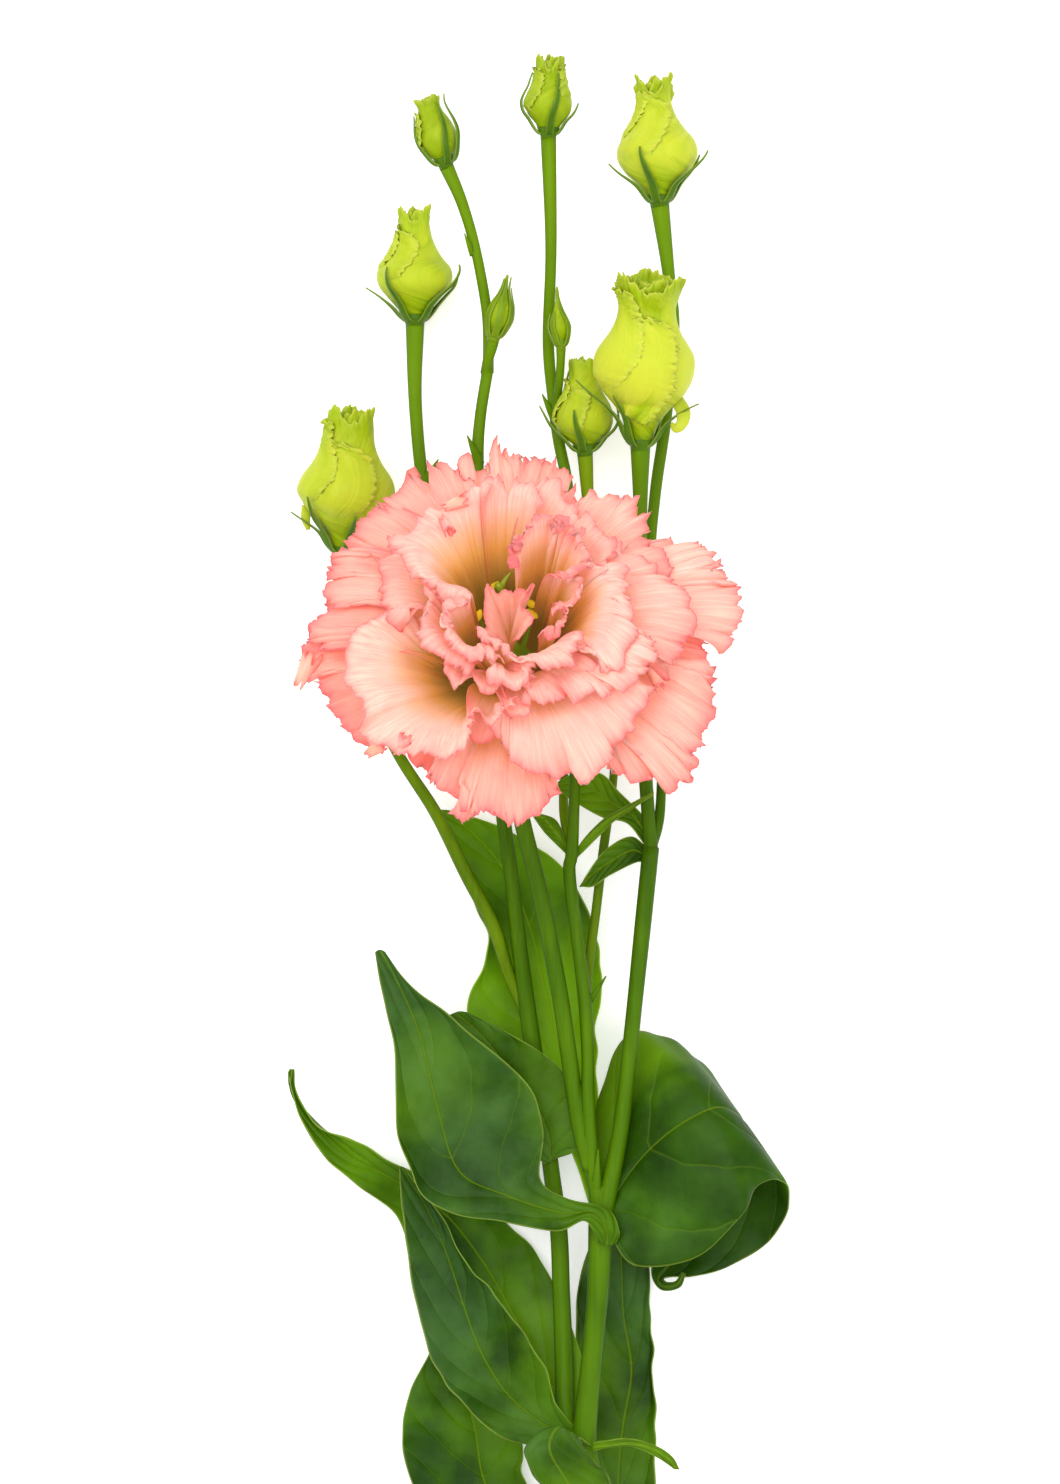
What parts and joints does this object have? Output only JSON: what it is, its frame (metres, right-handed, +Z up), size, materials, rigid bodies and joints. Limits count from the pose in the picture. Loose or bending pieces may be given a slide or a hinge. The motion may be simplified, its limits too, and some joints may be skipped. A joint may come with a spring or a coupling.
{
  "type": "cut lisianthus spray",
  "caption": "Cut lisianthus spray lying on a surface: a ruffled double salmon flower, yellow-green buds and broad leaves on a branching stem.",
  "frame": {"origin": "middle of the footprint, on the surface that the spray lies on", "axes": "+Y along the spray from the cut end to the highest bud, +X to the right as seen from above, +Z up from the surface"},
  "size_m": [0.096, 0.3322, 0.0797],
  "materials": {
    "stem": "satin",
    "leaf": "satin",
    "bud": "satin",
    "sepal": "satin",
    "petal": "matt",
    "pistil": "satin",
    "pollen": "matt"
  },
  "bodies": {
    "root": {"stem": "stem", "leaf_left_big": "leaf", "leaf_left_inner": "leaf", "leaf_upper_back": "leaf", "leaf_right_curled": "leaf", "leaf_left_far": "leaf", "leaf_left_long": "leaf", "leaf_bottom_left": "leaf", "leaf_bottom_right": "leaf", "leaf_front_drooping": "leaf", "leaf_bottom_thin": "leaf", "leaf_node_upper": "leaf", "leaf_node_lower": "leaf", "bract_left": "leaf", "bract_right": "leaf", "bud_top_left_petals": "bud", "bud_top_left_calyx": "sepal", "bud_top_middle_petals": "bud", "bud_top_middle_calyx": "sepal", "bud_top_right_petals": "bud", "bud_top_right_calyx": "sepal", "bud_left_petals": "bud", "bud_left_calyx": "sepal", "bud_low_left_petals": "bud", "bud_low_left_calyx": "sepal", "bud_large_petals": "bud", "bud_large_calyx": "sepal", "bud_small_front_petals": "bud", "bud_small_front_calyx": "sepal", "closed_bud_left": "sepal", "closed_bud_right": "sepal", "flower_petals": "petal", "flower_pistil": "pistil", "flower_stamens": "pollen", "flower_calyx": "sepal"}
  },
  "joints": []
}
